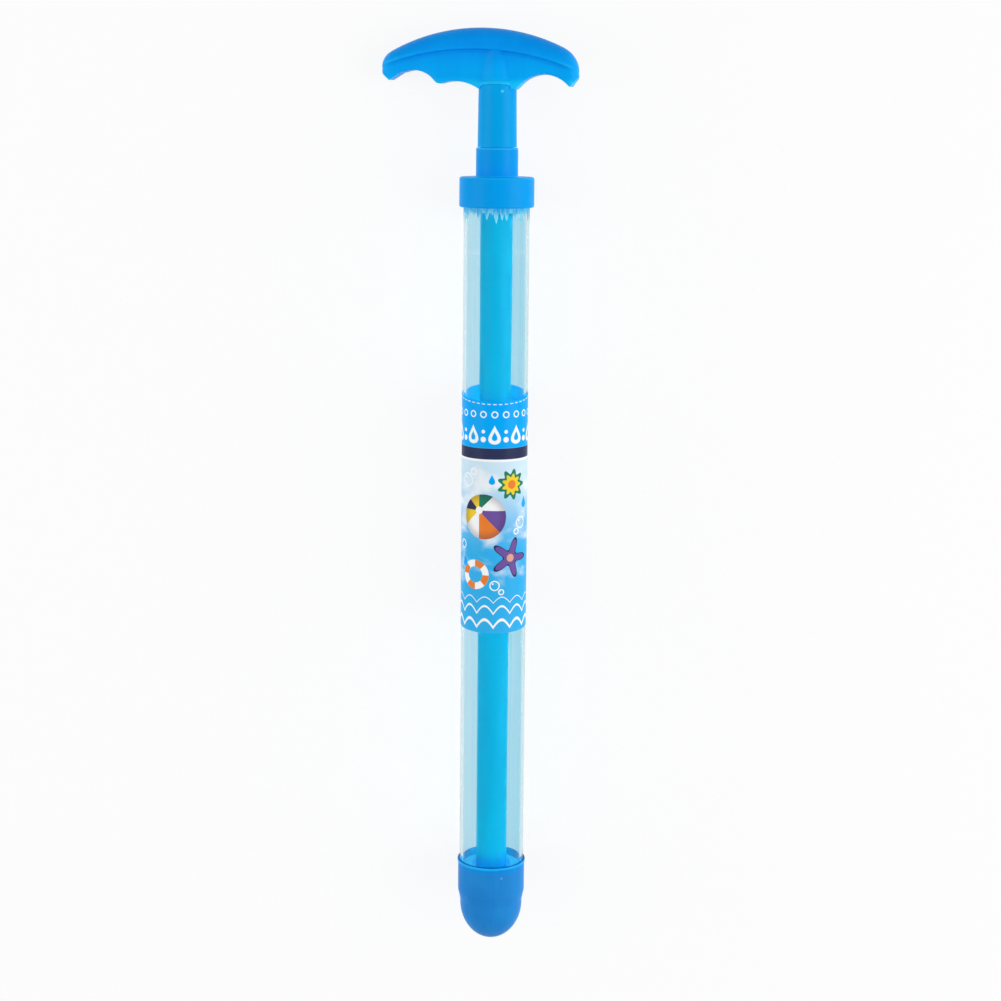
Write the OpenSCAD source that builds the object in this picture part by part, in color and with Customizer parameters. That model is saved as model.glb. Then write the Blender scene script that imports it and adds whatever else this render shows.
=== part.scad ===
// Water squirter: a clear barrel with a nozzle cap, and a plunger with a T-grip.
// It lies on a table with its axis along X, the spray hole's mouth at the origin
// and the grip towards +X. The long arm of the grip points to +Y.

/* [Barrel] */
// Outer diameter of the clear tube
barrel_od = 28.2; // [26:0.2:40]
// Wall of the clear tube
barrel_wall = 1.4; // [1:0.1:2]
// Length of the clear tube
barrel_length = 312.8; // [220:0.2:420]

/* [Label] */
// Distance from the nozzle cap's rim to the label
label_offset = 106.2; // [5:0.1:150]
// Length of the label along the barrel, at its sides
label_length = 101.9; // [40:0.1:105]
// Slant of the label's end at the grip, lower in front, in degrees
label_top_slant = 9; // [0:0.5:12]
// Slant of the label's end at the nozzle, lower in front, in degrees
label_foot_slant = 5; // [0:0.5:12]
// Thickness of the label's film
label_film = 0.15; // [0.1:0.05:0.4]

/* [Nozzle cap] */
// Length of the rounded dome
dome_length = 16; // [12:0.1:24]
// Length of the straight band behind the dome
band_length = 1; // [0.5:0.1:2]
// Length of the shoulder from the band to the skirt
shoulder_length = 3.8; // [3:0.1:6]
// How far the shoulder steps out
shoulder_step = 1; // [0.6:0.1:1.2]
// Rounding where the shoulder meets the skirt, along the barrel
shoulder_round = 1.6; // [0.5:0.1:2]
// Length of the straight skirt, from the shoulder to the rim
skirt_length = 15.2; // [8:0.1:25]
// Wall of the skirt round the barrel
skirt_wall = 0.5; // [0.4:0.05:2]
// How far the rim bead stands proud of the skirt
rim_proud = 0.3; // [0.1:0.05:0.8]
// Width of the rim bead along the barrel
rim_width = 1.8; // [1:0.1:3]
// Depth of the spray hole
tip_wall = 2.4; // [1.5:0.1:4]
// Diameter of the spray hole
orifice_d = 4; // [1.5:0.1:6]
// Width of the flat lip round the spray hole
orifice_lip = 1.2; // [0.6:0.1:2]
// How far the seat reaches inside the barrel's bore
seat_lip = 0.4; // [0.2:0.1:1.5]

/* [Collar] */
// Wall of the collar round the barrel
collar_wall = 1.9; // [1.2:0.05:4]
// Height of the collar
collar_height = 12.9; // [9:0.1:20]
// Thickness of the collar's end plate
collar_plate = 3.4; // [2:0.1:5]
// Bevel on the collar's edges
collar_bevel = 1; // [0.4:0.1:1.5]
// Length of the inner plug that reaches into the barrel
collar_plug_length = 8; // [4:0.5:14]
// Wall of the inner plug
collar_plug_wall = 1.6; // [1:0.1:2.4]
// Wall of the guide neck round the rod
neck_wall = 1.8; // [1.2:0.1:2.6]
// Height of the guide neck
neck_height = 12.4; // [6:0.1:20]
// Rounding on the neck's upper edge and at its foot
neck_round = 0.6; // [0.4:0.1:1.2]

/* [Push rod] */
// Diameter of the rod just under its head
rod_od_top = 14; // [13:0.1:15]
// Diameter of the rod at the piston
rod_od_bottom = 13.3; // [12:0.1:13.8]
// Wall of the hollow rod at the piston
rod_wall = 1.6; // [1.2:0.1:3]
// Diameter of the head just above the neck
head_od_bottom = 16.8; // [15.6:0.1:18]
// Diameter of the head under the grip
head_od_top = 16.2; // [15:0.1:17]
// Length of the head
head_length = 25.2; // [20:0.1:40]
// Radius of the head's crowned end, which keys into the grip
crown_r = 27; // [24:0.5:40]
// Wall of the head round the socket that takes the grip's plug
socket_wall = 2.05; // [1.2:0.05:2.4]
// Depth of the socket
socket_depth = 18; // [10:0.5:19]
// Diameter of the snap nubs that lock the grip into the head
nub_d = 1.4; // [1:0.1:2]
// Distance of the snap nubs below the head's upper end
nub_drop = 1.6; // [1.4:0.1:4]
// Turn of the snap nubs away from the grip's faces, in degrees
nub_turn = 25; // [0:1:60]
// How far the snap nubs stand proud of the head
nub_proud = 0.2; // [0.1:0.05:0.4]

/* [Piston] */
// Distance from the barrel's seat to the piston when it is pushed home
piston_gap = 0.8; // [0.3:0.1:3]
// Width of the recess round the rod's end
recess_gap = 2.1; // [1:0.1:2.4]
// Depth of the recess
recess_depth = 4.2; // [3:0.1:5]
// Room round the snap head in the piston's hollow
hollow_gap = 1.8; // [0.8:0.1:3]
// Room in front of the snap head in the piston's hollow
hollow_room = 1.4; // [0.6:0.1:4]
// Thickness of the web that the snap plug grips
snap_web = 2.8; // [2:0.1:3.4]
// Section diameter of the seal rings
seal_d = 1.6; // [1.2:0.1:2]
// Distance of each seal ring from the piston's nearer end
seal_inset = 2.8; // [2:0.1:3.6]

/* [Rod plug] */
// Diameter of the snap plug's neck
plug_neck_d = 6; // [4.5:0.1:6.5]
// How far the snap plug's head catches behind the web
snap_catch = 1.2; // [0.6:0.1:1.6]
// Length of the snap plug's head
plug_head_length = 3.2; // [2:0.1:3.6]
// Width of the slot that lets the snap head close
plug_slot = 1; // [0.6:0.1:1.4]
// Thickness of the plug's flange under the rod
plug_flange = 1.6; // [1:0.1:2]
// Length of the plug inside the rod
plug_spigot_length = 14; // [6:0.5:25]

/* [Grip] */
// Radius of the palm arc
palm_radius = 80.9; // [70:0.2:110]
// Distance from the rod's head to the top of the palm arc
grip_rise = 25.2; // [24:0.1:28]
// Offset of the palm arc's centre towards the long arm
palm_shift = 7.4; // [2:0.1:10]
// Sweep of the palm arc towards the long arm, in degrees
long_sweep = 28.9; // [27:0.1:32]
// Sweep of the palm arc towards the short arm, in degrees
short_sweep = 26.5; // [23:0.1:28]
// Radius of the long arm's tip
long_tip_r = 7.8; // [7:0.1:9]
// Radius of the short arm's tip
short_tip_r = 11.5; // [11:0.1:14]
// Thickness of the palm bar
bar_thickness = 15; // [13:0.1:18]
// Depth of the palm bar at its middle
bar_depth = 9.3; // [7:0.1:12]
// Radius of the line where the palm bar meets the web
bar_line_r = 115; // [100:1:150]
// Offset of that line's centre towards the long arm
bar_line_shift = 9.7; // [5:0.1:12]
// Width of the palm bar's rounded edge
bar_round = 6; // [4:0.1:6.8]
// Rounding of the palm bar at the line
line_round = 1.2; // [0.6:0.1:2]
// Thickness of the web under the palm bar
web_thickness = 11; // [9:0.1:12.6]
// How far the web reaches down beside the rod's head
web_reach = 0.7; // [0.4:0.1:1.2]
// Width of the rounded edge round the web's tips
tip_round = 3.6; // [3:0.1:4.2]
// Rounding along the finger scallops
scallop_round = 2; // [1:0.1:3]
// Radius of the outer scallop on the long arm
outer_scallop_r = 11.3; // [10:0.1:12]
// Distance of the outer scallop's centre from the axis
outer_scallop_reach = 35.9; // [34:0.1:38]
// Distance of the outer scallop's centre below the grip
outer_scallop_drop = 4.25; // [3:0.05:6]
// Radius of the inner scallop on the long arm
inner_scallop_r = 18.6; // [17.5:0.1:19.5]
// Distance of the inner scallop's centre from the axis
inner_scallop_reach = 18.1; // [17:0.1:20]
// Distance of the inner scallop's centre below the grip
inner_scallop_drop = 16.1; // [14:0.1:18]
// Radius of the scallop on the short arm
short_scallop_r = 14; // [12:0.1:15]
// Distance of the short arm's scallop from the axis
short_scallop_reach = 20.4; // [18:0.1:22]
// Distance of the short arm's scallop below the grip
short_scallop_drop = 8.55; // [6:0.05:10]
// Rounding of the point between the two scallops on the long arm
knuckle_round = 2.4; // [2.2:0.1:3]
// Rounding of the point at the long arm's tip
long_point_round = 1.2; // [0.8:0.1:3]
// Rounding of the point at the short arm's tip
short_point_round = 1; // [0.8:0.1:3]
// How far the boss's lip overhangs the rod's head
lip_overhang = 0.5; // [0.2:0.1:1.5]
// Diameter of the boss where it runs into the palm bar
boss_top_d = 12.4; // [11.4:0.1:14]
// Rounding of the boss's lip
lip_round = 1.6; // [1:0.1:2]

/* [Clearances] */
// Radial gap where pieces are pressed or glued together
fit_gap = 0.05; // [0.02:0.01:0.1]
// Radial gap of the rod in its guide neck
guide_gap = 0.2; // [0.1:0.05:0.4]
// Radial gap of the piston in the barrel
piston_play = 0.2; // [0.15:0.05:0.4]
// Radial gap of the seal rings in the barrel
seal_gap = 0.05; // [0.02:0.01:0.1]
// Radial gap of the snap plug's neck in the piston
swivel_gap = 0.15; // [0.1:0.05:0.3]
// End gap where moving pieces stop against each other
stop_gap = 0.2; // [0.1:0.05:0.4]

/* [Hidden] */
$fn = 96;

// Steps in a quarter of a rounded edge
arc_steps = 8;
// Steps along the dome's profile
dome_steps = 24;
// Spare length of a cut past the face that it leaves by
past = 1;
// Height of the faint moulding step where the palm bar's ends begin
witness = 0.08;
// Step from the palm bar's ends in to the web's tips
web_inset = 3 * witness;

// Radii
barrel_r = barrel_od / 2;
bore_r = barrel_r - barrel_wall;
skirt_r = barrel_r + fit_gap + skirt_wall;
collar_r = barrel_r + fit_gap + collar_wall;
guide_r = rod_od_top / 2 + guide_gap;
neck_r = guide_r + neck_wall;
piston_r = bore_r - piston_play;
seal_r = bore_r - seal_gap - seal_d / 2;
groove_floor_r = seal_r - seal_d / 2 - fit_gap;
groove_width = seal_d + 2 * stop_gap;
label_r = barrel_r + fit_gap + label_film;
shoulder_brow = shoulder_step / 4;
rod_end_r = rod_od_bottom / 2;
hollow_rod_r = rod_end_r - rod_wall;
head_r = head_od_top / 2;
socket_r = head_r - socket_wall;
snap_neck_r = plug_neck_d / 2;
snap_head_r = snap_neck_r + snap_catch;

// Places along the axis, from the spray hole's mouth
shoulder_start = dome_length + band_length;
barrel_start = shoulder_start + shoulder_length;
barrel_end = barrel_start + barrel_length;
rim_x = barrel_start + skirt_length;
label_start = rim_x + label_offset;
collar_end = barrel_end + collar_plate;
collar_start = collar_end - collar_height;
neck_end = collar_end + neck_height;
head_start = neck_end + stop_gap;
head_end = head_start + head_length;
crown_x = head_end - sqrt(crown_r * crown_r - head_r * head_r);
crown_top = crown_x + crown_r + past;
piston_start = barrel_start + piston_gap;
snap_face = piston_start + hollow_room + plug_head_length + stop_gap;
recess_floor = snap_face + snap_web;
piston_end = recess_floor + recess_depth;
flange_start = recess_floor + stop_gap;
rod_start = flange_start + plug_flange;
nub_x = head_end - nub_drop;
front_seal_x = piston_start + seal_inset;
rear_seal_x = piston_end - seal_inset;

// Places of the grip's arcs, as x and y
palm_centre = [head_end + grip_rise - palm_radius, palm_shift];
line_centre = [head_end + grip_rise - bar_depth - bar_line_r, bar_line_shift];
long_tip = palm_centre + (palm_radius - long_tip_r) * [cos(long_sweep), sin(long_sweep)];
short_tip = palm_centre + (palm_radius - short_tip_r) * [cos(short_sweep), -sin(short_sweep)];
outer_scallop = [head_end - outer_scallop_drop, outer_scallop_reach];
inner_scallop = [head_end - inner_scallop_drop, inner_scallop_reach];
short_scallop = [head_end - short_scallop_drop, -short_scallop_reach];

// Points of the web, each as the two arcs that meet there and its rounding.
// An arc is a centre, a radius, and 1 where the web lies outside it or -1 where it lies inside.
web_points = [
    [[outer_scallop, outer_scallop_r, 1], [inner_scallop, inner_scallop_r, 1], knuckle_round],
    [[outer_scallop, outer_scallop_r, 1], [long_tip, long_tip_r - web_inset, -1], long_point_round],
    [[short_tip, short_tip_r - web_inset, -1], [short_scallop, short_scallop_r, 1], short_point_round]];

// Roll about the axis that lays the long arm's tip on the table under the collar
tip_reach = long_tip[1] + long_tip_r - bar_round;
function tip_drop(roll) = norm([bar_round * sin(roll), bar_thickness / 2 * cos(roll)]);
function laid(roll, tries) =
    tries == 0 ? roll : laid(asin((collar_r - tip_drop(roll)) / tip_reach), tries - 1);
rest_roll = laid(0, 4);

// Points of an elliptical arc about a centre, in a profile's plane
function arc(centre, across, along, from, to, steps = arc_steps) =
    [for (i = [0:steps]) let (t = from + (to - from) * i / steps)
        centre + [across * cos(t), along * sin(t)]];

// Place where two arcs meet once both have moved out by a distance, left of the line from one to the other
function meeting(first, second, out) =
    let (first_r = first[1] + out * first[2], second_r = second[1] + out * second[2],
        way = second[0] - first[0], apart = norm(way),
        along = (first_r * first_r - second_r * second_r + apart * apart) / (2 * apart),
        aside = sqrt(first_r * first_r - along * along))
    first[0] + (along * way + aside * [-way[1], way[0]]) / apart;

// Solid turned about the squirter's axis from a profile of radius and place
module turned(profile) {
    rotate([0, 90, 0])
        rotate_extrude()
            polygon(profile);
}

// Tube along the squirter's axis
module tube(outer_r, inner_r, from, to) {
    turned([[inner_r, from], [outer_r, from], [outer_r, to], [inner_r, to]]);
}

// Disc with a rounded edge, lying in the grip's plane
module rounded_disc(radius, thickness, round) {
    profile = concat(
        [[0, -thickness / 2]],
        arc([radius - round, 0], round, thickness / 2, -90, 90, 2 * arc_steps),
        [[0, thickness / 2]]);
    rotate_extrude()
        polygon(profile);
}

// Disc with straight sides and rounded edges, lying in the grip's plane
module eased_disc(radius, thickness, round) {
    half = thickness / 2;
    lower = arc([radius - round, round - half], round, round, -90, 0);
    upper = arc([radius - round, half - round], round, round, 0, 90);
    profile = concat([[0, -half]], lower, upper, [[0, half]]);
    rotate_extrude()
        polygon(profile);
}

// Round cutter through a plate that also rounds both edges of the cut
module flared_cutter(radius, thickness, round) {
    half = thickness / 2;
    lower = arc([radius + round, round - half], round, round, 270, 180);
    upper = arc([radius + round, half - round], round, round, 180, 90);
    profile = concat(
        [[0, -half - past], [radius + round, -half - past]],
        lower,
        upper,
        [[radius + round, half + past], [0, half + past]]);
    rotate_extrude()
        polygon(profile);
}

// Carries the plunger's pieces to their roll at rest
module rolled() {
    rotate([-rest_roll, 0, 0])
        children();
}

module barrel() {
    color([0.75, 0.89, 0.94, 0.45])
        tube(barrel_r, bore_r, barrel_start, barrel_end);
}

// Room beyond a slanted end of the label
module beyond_end(slant) {
    room = 2 * barrel_od;
    rotate([0, -slant, 0])
        translate([0, -room / 2, -room / 2])
            cube(room);
}

module label_sleeve() {
    label_end = label_start + label_length;
    foot_spill = label_r * tan(label_foot_slant) + past;
    top_spill = label_r * tan(label_top_slant) + past;
    color([0.1, 0.66, 0.96])
        difference() {
            tube(label_r, label_r - label_film, label_start - foot_spill, label_end + top_spill);
            translate([label_end, 0, 0])
                beyond_end(label_top_slant);
            translate([label_start, 0, 0])
                rotate([0, 0, 180])
                    beyond_end(-label_foot_slant);
        }
}

module nozzle_cap() {
    hole_r = orifice_d / 2;
    lip_r = hole_r + orifice_lip;
    sleeve_r = barrel_r + fit_gap;
    seat_r = bore_r - seat_lip;
    dome_r = skirt_r - shoulder_step;
    outer_turn = acos(lip_r / dome_r);
    inner_turn = acos(hole_r / seat_r);
    outer_dome = arc([0, dome_length], dome_r, dome_length / sin(outer_turn), -outer_turn, 0, dome_steps);
    shoulder_edge = arc([skirt_r - shoulder_brow, barrel_start + shoulder_round], shoulder_brow,
        shoulder_round, -90, 0);
    rim_bead = arc([skirt_r, rim_x - rim_width / 2], rim_proud, rim_width / 2, -90, 90);
    inner_dome = arc([0, dome_length], seat_r, (dome_length - tip_wall) / sin(inner_turn), 0, -inner_turn,
        dome_steps);
    color([0.1, 0.48, 0.79])
        turned(concat(
            [[hole_r, 0]],
            outer_dome,
            [[dome_r, shoulder_start]],
            shoulder_edge,
            rim_bead,
            [[sleeve_r, rim_x], [sleeve_r, barrel_start], [seat_r, barrel_start]],
            inner_dome));
}

module collar() {
    sleeve_r = barrel_r + fit_gap;
    plug_r = bore_r - fit_gap;
    top_edge = arc([collar_r - collar_bevel, collar_end - collar_bevel], collar_bevel, collar_bevel, 0, 90);
    neck_foot = arc([neck_r + neck_round, collar_end + neck_round], neck_round, neck_round, 270, 180);
    neck_edge = arc([neck_r - neck_round, neck_end - neck_round], neck_round, neck_round, 0, 90);
    color([0.0, 0.6, 0.9])
        turned(concat(
            [[guide_r, barrel_end], [plug_r - collar_plug_wall, barrel_end],
             [plug_r - collar_plug_wall, barrel_end - collar_plug_length],
             [plug_r, barrel_end - collar_plug_length], [plug_r, barrel_end], [sleeve_r, barrel_end],
             [sleeve_r, collar_start], [collar_r - collar_bevel / 2, collar_start],
             [collar_r, collar_start + collar_bevel / 2]],
            top_edge,
            neck_foot,
            neck_edge,
            [[guide_r, neck_end]]));
}

module seal_groove(place) {
    tube(piston_r + past, groove_floor_r, place - groove_width / 2, place + groove_width / 2);
}

module piston_head() {
    recess_r = rod_end_r + recess_gap;
    swivel_r = snap_neck_r + swivel_gap;
    hollow_r = snap_head_r + hollow_gap;
    color([0.18, 0.62, 0.88])
        difference() {
            turned([
                [hollow_r, piston_start], [piston_r, piston_start], [piston_r, piston_end],
                [recess_r, piston_end], [recess_r, recess_floor], [swivel_r, recess_floor],
                [swivel_r, snap_face], [hollow_r, snap_face]]);
            seal_groove(front_seal_x);
            seal_groove(rear_seal_x);
        }
}

module seal(place) {
    color([0.12, 0.12, 0.13])
        translate([place, 0, 0])
            rotate([0, 90, 0])
                rotate_extrude()
                    translate([seal_r, 0])
                        circle(d = seal_d, $fn = 32);
}

module front_seal() {
    seal(front_seal_x);
}

module rear_seal() {
    seal(rear_seal_x);
}

// Cross bar through the axis where the snap nubs or their holes are, at their own turn
module nub_bar(diameter, reach) {
    rotate([nub_turn, 0, 0])
        translate([nub_x, 0, -reach])
            cylinder(d = diameter, h = 2 * reach, $fn = 32);
}

// Round crown across the axis, which ends the rod's head, grown by a gap
module crown(gap) {
    translate([crown_x, 0, 0])
        cylinder(r = crown_r + gap, h = 2 * head_od_bottom, center = true);
}

// Room beyond the crown
module beyond_crown(gap) {
    difference() {
        translate([head_end - past, -head_od_bottom, -head_od_bottom])
            cube(2 * head_od_bottom);
        crown(gap);
    }
}

module push_rod() {
    color([0.0, 0.65, 0.91])
        rolled()
            difference() {
                turned([
                    [hollow_rod_r, rod_start], [rod_end_r, rod_start], [rod_od_top / 2, head_start],
                    [head_od_bottom / 2, head_start], [head_r, crown_top], [socket_r, crown_top],
                    [socket_r, head_end - socket_depth], [hollow_rod_r, head_end - socket_depth]]);
                beyond_crown(0);
                nub_bar(nub_d + 2 * fit_gap, head_od_bottom / 2 + past);
            }
}

module rod_plug() {
    spigot_r = hollow_rod_r - fit_gap;
    head_base = snap_face - stop_gap;
    head_tip = head_base - plug_head_length;
    slot_depth = plug_head_length + snap_web / 2;
    color([0.9, 0.92, 0.93])
        difference() {
            turned([
                [0, head_tip], [snap_neck_r, head_tip], [snap_head_r, head_base], [snap_neck_r, head_base],
                [snap_neck_r, flange_start], [rod_end_r, flange_start], [rod_end_r, rod_start],
                [spigot_r, rod_start], [spigot_r, rod_start + plug_spigot_length],
                [0, rod_start + plug_spigot_length]]);
            translate([head_tip - past, -plug_slot / 2, -snap_head_r - past])
                cube([slot_depth + past, plug_slot, 2 * (snap_head_r + past)]);
        }
}

// Arched bar under the palm, with its two rounded ends
module palm_bar() {
    half = bar_thickness / 2;
    inner_r = palm_radius - bar_depth - 2 * bar_round;
    edge = arc([palm_radius - bar_round, 0], bar_round, half, -90, 90, 2 * arc_steps);
    difference() {
        union() {
            translate(palm_centre)
                rotate([0, 0, -short_sweep])
                    rotate_extrude(angle = long_sweep + short_sweep)
                        polygon(concat([[inner_r, -half]], edge, [[inner_r, half]]));
            translate(long_tip)
                rounded_disc(long_tip_r - witness, bar_thickness - 2 * witness, bar_round);
            translate(short_tip)
                rounded_disc(short_tip_r - witness, bar_thickness - 2 * witness, bar_round);
        }
        translate(line_centre)
            flared_cutter(bar_line_r, bar_thickness, line_round);
    }
}

// Finger scallop through the web
module scallop(centre, radius) {
    translate(centre)
        flared_cutter(radius, web_thickness, scallop_round);
}

// Cuts off the sharp end of a point, back to where its rounding touches the two arcs
module point_cut(point) {
    sharp = meeting(point[0], point[1], 0);
    centre = meeting(point[0], point[1], point[2]);
    arc_centre = point[0][0];
    touch = arc_centre + point[0][1] * (centre - arc_centre) / norm(centre - arc_centre);
    translate(sharp)
        cylinder(r = norm(touch - sharp), h = web_thickness + 2 * past, center = true);
}

// Rounded end of a point
module point_end(point) {
    radius = point[2] - witness;
    translate(meeting(point[0], point[1], point[2]))
        eased_disc(radius, web_thickness - 2 * witness, min(scallop_round, radius - witness));
}

// Flat web below the palm bar, with its finger scallops and rounded points
module web() {
    difference() {
        union() {
            linear_extrude(web_thickness, center = true)
                intersection() {
                    translate(palm_centre)
                        circle(palm_radius - bar_round);
                    translate([head_end - web_reach, short_tip[1]])
                        square([grip_rise + web_reach, long_tip[1] - short_tip[1]]);
                }
            translate(long_tip)
                rounded_disc(long_tip_r - web_inset, web_thickness - 2 * witness, tip_round);
            translate(short_tip)
                rounded_disc(short_tip_r - web_inset, web_thickness - 2 * witness, tip_round);
        }
        scallop(outer_scallop, outer_scallop_r);
        scallop(inner_scallop, inner_scallop_r);
        scallop(short_scallop, short_scallop_r);
        for (point = web_points)
            point_cut(point);
    }
    for (point = web_points)
        point_end(point);
}

// Round boss in the web, with its lip over the crowned end of the rod's head
module boss() {
    lip_r = head_r + lip_overhang;
    lip = arc([lip_r - lip_round, head_end + lip_round], lip_round, lip_round, -90, 60);
    difference() {
        turned(concat(
            [[0, head_end]],
            lip,
            [[boss_top_d / 2, head_end + grip_rise - bar_depth],
             [0, head_end + grip_rise - bar_depth]]));
        crown(0);
    }
}

// Room for the rod's head under the boss and between the web's feet
module head_seat() {
    difference() {
        turned([
            [0, head_start], [head_od_bottom / 2 + fit_gap, head_start], [head_r + fit_gap, crown_top],
            [0, crown_top]]);
        beyond_crown(fit_gap);
    }
}

// Plug that goes into the head's socket
module socket_plug() {
    tube(socket_r - fit_gap, 0, head_end - socket_depth + stop_gap, crown_top);
}

module handle_grip() {
    color([0.0, 0.6, 0.93])
        rolled()
            union() {
                difference() {
                    union() {
                        palm_bar();
                        web();
                        boss();
                    }
                    head_seat();
                }
                socket_plug();
                nub_bar(nub_d, head_r + nub_proud);
            }
}

barrel();
label_sleeve();
nozzle_cap();
collar();
piston_head();
front_seal();
rear_seal();
push_rod();
rod_plug();
handle_grip();
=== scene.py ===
import math
import random

import bmesh
import bpy
from mathutils import Matrix, Vector


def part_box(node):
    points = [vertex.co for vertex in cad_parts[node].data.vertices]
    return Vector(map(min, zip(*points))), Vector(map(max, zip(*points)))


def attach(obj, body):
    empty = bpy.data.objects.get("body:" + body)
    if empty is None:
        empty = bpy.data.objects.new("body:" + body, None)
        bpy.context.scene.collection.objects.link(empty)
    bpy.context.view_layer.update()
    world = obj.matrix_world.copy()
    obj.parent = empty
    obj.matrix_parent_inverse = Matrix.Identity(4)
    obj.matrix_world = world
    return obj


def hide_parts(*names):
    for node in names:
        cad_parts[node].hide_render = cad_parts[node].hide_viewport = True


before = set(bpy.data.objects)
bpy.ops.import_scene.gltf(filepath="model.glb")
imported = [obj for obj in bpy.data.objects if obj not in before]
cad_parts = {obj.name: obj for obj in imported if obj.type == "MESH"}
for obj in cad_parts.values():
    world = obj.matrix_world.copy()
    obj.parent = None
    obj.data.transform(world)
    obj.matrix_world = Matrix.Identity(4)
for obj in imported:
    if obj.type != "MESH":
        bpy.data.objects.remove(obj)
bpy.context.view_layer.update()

MM = 0.001

# Places read from the frame
label_low, label_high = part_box("label_sleeve")
barrel_low, barrel_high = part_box("barrel")
collar_low, collar_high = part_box("collar")
cap_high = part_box("nozzle_cap")[1]
rod_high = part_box("push_rod")[1]
grip_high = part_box("handle_grip")[1]
barrel_r = barrel_high.z
label_r = label_high.z
table_z = collar_low.z


def srgb(red, green, blue):
    """A colour given as screen levels from 0 to 255, in the linear form that shaders take."""
    def linear(level):
        share = level / 255
        return share / 12.92 if share <= 0.04045 else ((share + 0.055) / 1.055) ** 2.4
    return linear(red), linear(green), linear(blue), 1.0


WHITE = srgb(250, 252, 253)


class Shader:
    """A material under construction, with short calls for the nodes that it uses."""

    def __init__(self, name):
        self.begin(bpy.data.materials.new(name), "ShaderNodeOutputMaterial")

    def begin(self, owner, output):
        """Clears the nodes of a material or a world and adds its output."""
        self.owner = owner
        owner.use_nodes = True
        self.tree = owner.node_tree
        self.tree.nodes.clear()
        self.output = self.tree.nodes.new(output)

    def put(self, socket, value):
        """Links a socket to another node's output, or sets its constant."""
        if isinstance(value, bpy.types.NodeSocket):
            self.tree.links.new(value, socket)
        else:
            socket.default_value = value

    def node(self, kind, inputs=None, **settings):
        """A shader node with its settings and inputs."""
        made = self.tree.nodes.new("ShaderNode" + kind)
        for name, value in settings.items():
            setattr(made, name, value)
        for socket, value in (inputs or {}).items():
            self.put(made.inputs[socket], value)
        return made

    def math(self, operation, *values):
        """The result of one sum on numbers or sockets."""
        made = self.node("Math", operation=operation)
        for socket, value in zip(made.inputs, values):
            self.put(socket, value)
        return made.outputs[0]

    def millimetres(self):
        """The surface point in the piece's own frame, in millimetres."""
        place = self.node("TexCoord").outputs["Object"]
        scaled = self.node("VectorMath", {0: place}, operation="SCALE")
        scaled.inputs["Scale"].default_value = 1 / MM
        return scaled.outputs[0]

    def radius(self, place):
        """The distance of a point from the squirter's axis."""
        aside, height = self.node("SeparateXYZ", {0: place}).outputs[1:]
        squares = self.math("MULTIPLY_ADD", aside, aside, self.math("MULTIPLY", height, height))
        return self.math("SQRT", squares)

    def stretched(self, vector, along, around):
        """The vector squeezed along the squirter's axis and across it."""
        made = self.node("VectorMath", {0: vector, 1: (along, around, around)}, operation="MULTIPLY")
        return made.outputs[0]

    def noise(self, vector, scale, detail=2.0):
        """Noise from 0 to 1 with a scale in turns per millimetre."""
        return self.node("TexNoise", {"Vector": vector, "Scale": scale, "Detail": detail}).outputs["Fac"]

    def ranged(self, value, low, high, to_low, to_high):
        """The value carried from one range to another, with soft ends."""
        made = self.node("MapRange", interpolation_type="SMOOTHSTEP")
        for socket, number in zip(made.inputs, (value, low, high, to_low, to_high)):
            self.put(socket, number)
        return made.outputs[0]

    def mixed(self, share, first, second, blend="MIX"):
        """A colour between two others, or the first one tinted by the second."""
        made = self.node("Mix", data_type="RGBA", blend_type=blend)
        self.put(made.inputs[0], share)
        self.put(made.inputs[6], first)
        self.put(made.inputs[7], second)
        return made.outputs[2]

    def bumped(self, height, rise):
        """A normal raised by a height, with the full rise in metres."""
        return self.node("Bump", {"Height": height, "Distance": rise, "Strength": 1.0}).outputs[0]

    def surface(self, shader):
        """Ends the material with this shader."""
        self.put(self.output.inputs["Surface"], shader)
        return self.owner


def dress(piece, material):
    """Gives every face of a piece one material."""
    piece.data.materials.clear()
    piece.data.materials.append(material)
    for face in piece.data.polygons:
        face.material_index = 0


# Plastics
PLASTIC_SPECULAR = 0.05
PLASTIC_IOR = 1.49
TUBE_IOR = 1.2
TUBE_GLINT = (0.3, 0.7, 0.9, 1.0)
CLEAR = srgb(248, 252, 254)
TUBE_GLOW = (0.82, 0.85, 0.86, 1.0)
DIE_LINE = srgb(224, 239, 248)
# Place of the tube's worn ring along the axis, in millimetres
WORN_RING = 305.0
MOTTLE = (0.8, 0.84, 0.92, 1.0)
# Full rise of the fine reliefs, in metres
SKIN_RISE = 0.00002
STREAK_RISE = 0.00004
GRAIN_RISE = 0.00003
CREASE_RISE = 0.0001
# Strength of the glow painted on the inner side of a thin wall, standing in for light that comes through from
# outside
PAINTED_WALL_GLOW = 0.42


def let_light_in(shader, surface, colour):
    """Lets light of a colour through a face, so that what lies behind a clear or thin wall isn't dark."""
    path = shader.node("LightPath")
    passing = shader.node("BsdfTransparent", {"Color": colour})
    both = shader.node("MixShader", {0: path.outputs["Is Shadow Ray"]})
    shader.put(both.inputs[1], surface)
    shader.put(both.inputs[2], passing.outputs[0])
    return both.outputs[0]


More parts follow.
